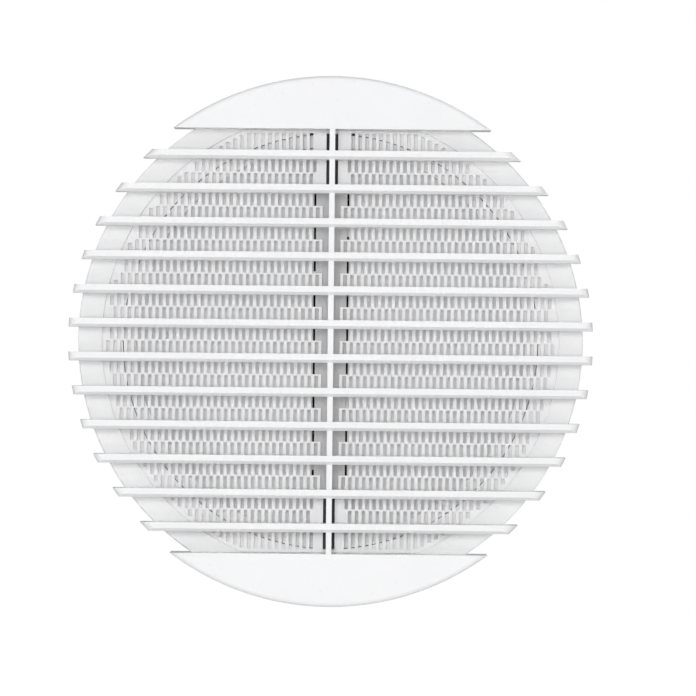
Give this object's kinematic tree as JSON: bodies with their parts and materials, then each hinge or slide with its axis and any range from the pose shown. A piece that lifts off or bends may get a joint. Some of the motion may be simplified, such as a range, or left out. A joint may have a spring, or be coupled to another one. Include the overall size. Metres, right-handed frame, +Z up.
{
  "type": "bathroom extractor fan",
  "caption": "Round in-duct bathroom extractor fan with a white louvred front grille, insect screens, back-draught shutter, axial impeller and shaded-pole motor.",
  "frame": {"origin": "on the duct axis, at the wall face behind the flange", "axes": "+Y runs into the duct, -Y faces the room, +Z is up, +X is to the right seen from the room"},
  "size_m": [0.1778, 0.19, 0.18],
  "materials": {
    "white_gloss": "glossy moulded white",
    "white_screen": "semi-gloss moulded white",
    "white_housing": "satin moulded white",
    "white_flap": "satin moulded white",
    "grey_plastic": "satin grey",
    "bright_steel": "ground",
    "spring_steel": "drawn wire",
    "foam_rubber": "closed-cell foam",
    "black_plastic": "satin moulded black",
    "zinc_steel": "zinc plated",
    "lamination_steel": "stacked laminations",
    "cast_aluminium": "as cast",
    "sintered_bronze": "sintered",
    "copper_winding": "enamelled copper wire",
    "natural_nylon": "natural",
    "ivory_plastic": "satin",
    "brass_insert": "turned",
    "black_rubber": "moulded",
    "lead_insulation": "extruded sleeve"
  },
  "bodies": {
    "housing": {"wall_flange": "white_housing", "duct_spigot": "white_housing", "wall_gasket": "foam_rubber", "screen_left": "white_screen", "screen_right": "white_screen", "screen_seals": "foam_rubber", "shutter_frame": "white_housing", "hinge_bar": "grey_plastic", "hinge_spindle": "bright_steel", "cassette_sleeve": "black_plastic", "guide_vanes": "black_plastic", "motor_cup": "black_plastic", "motor_cap": "black_plastic", "cassette_screws": "zinc_steel", "stator_core": "lamination_steel", "stator_coils": "copper_winding", "coil_bobbins": "natural_nylon", "front_bearing_bracket": "cast_aluminium", "rear_bearing_bracket": "cast_aluminium", "front_bush": "sintered_bronze", "rear_bush": "sintered_bronze", "motor_bolts": "zinc_steel", "motor_nuts": "zinc_steel", "terminal_block": "ivory_plastic", "terminal_inserts": "brass_insert", "terminal_screws": "zinc_steel", "cable_clamp": "ivory_plastic", "clamp_screws": "zinc_steel", "cable_grommet": "black_rubber", "motor_leads": "lead_insulation"},
    "cover": {"grille_ring": "white_gloss", "grille_skirt": "white_gloss", "grille_louvres": "white_gloss", "grille_rib": "white_gloss", "grille_cap_top": "white_gloss", "grille_cap_bottom": "white_gloss"},
    "flap_left": {"flap_left": "white_flap", "flap_spring_left": "spring_steel"},
    "flap_right": {"flap_right": "white_flap", "flap_spring_right": "spring_steel"},
    "rotor": {"impeller_hub": "black_plastic", "impeller_blades": "black_plastic", "impeller_nut": "zinc_steel", "motor_shaft": "bright_steel", "rotor_core": "lamination_steel", "rotor_end_rings": "cast_aluminium", "thrust_washers": "natural_nylon"}
  },
  "joints": [
    {"name": "cover_pull", "type": "slide", "parent": "housing", "child": "cover", "axis": [0, -1, 0], "range_m": [0, 0.06]},
    {"name": "flap_left_swing", "type": "hinge", "parent": "housing", "child": "flap_left", "pos_m": [0, 0.008, 0], "axis": [0, 0, -1], "range_deg": [0, 80], "stiffness_Nm_per_rad": 0.002},
    {"name": "flap_right_swing", "type": "hinge", "parent": "housing", "child": "flap_right", "pos_m": [0, 0.008, 0], "axis": [0, 0, 1], "range_deg": [0, 80], "stiffness_Nm_per_rad": 0.002},
    {"name": "impeller_spin", "type": "hinge", "parent": "housing", "child": "rotor", "pos_m": [0, 0.098, 0], "axis": [0, 1, 0], "continuous": true}
  ]
}
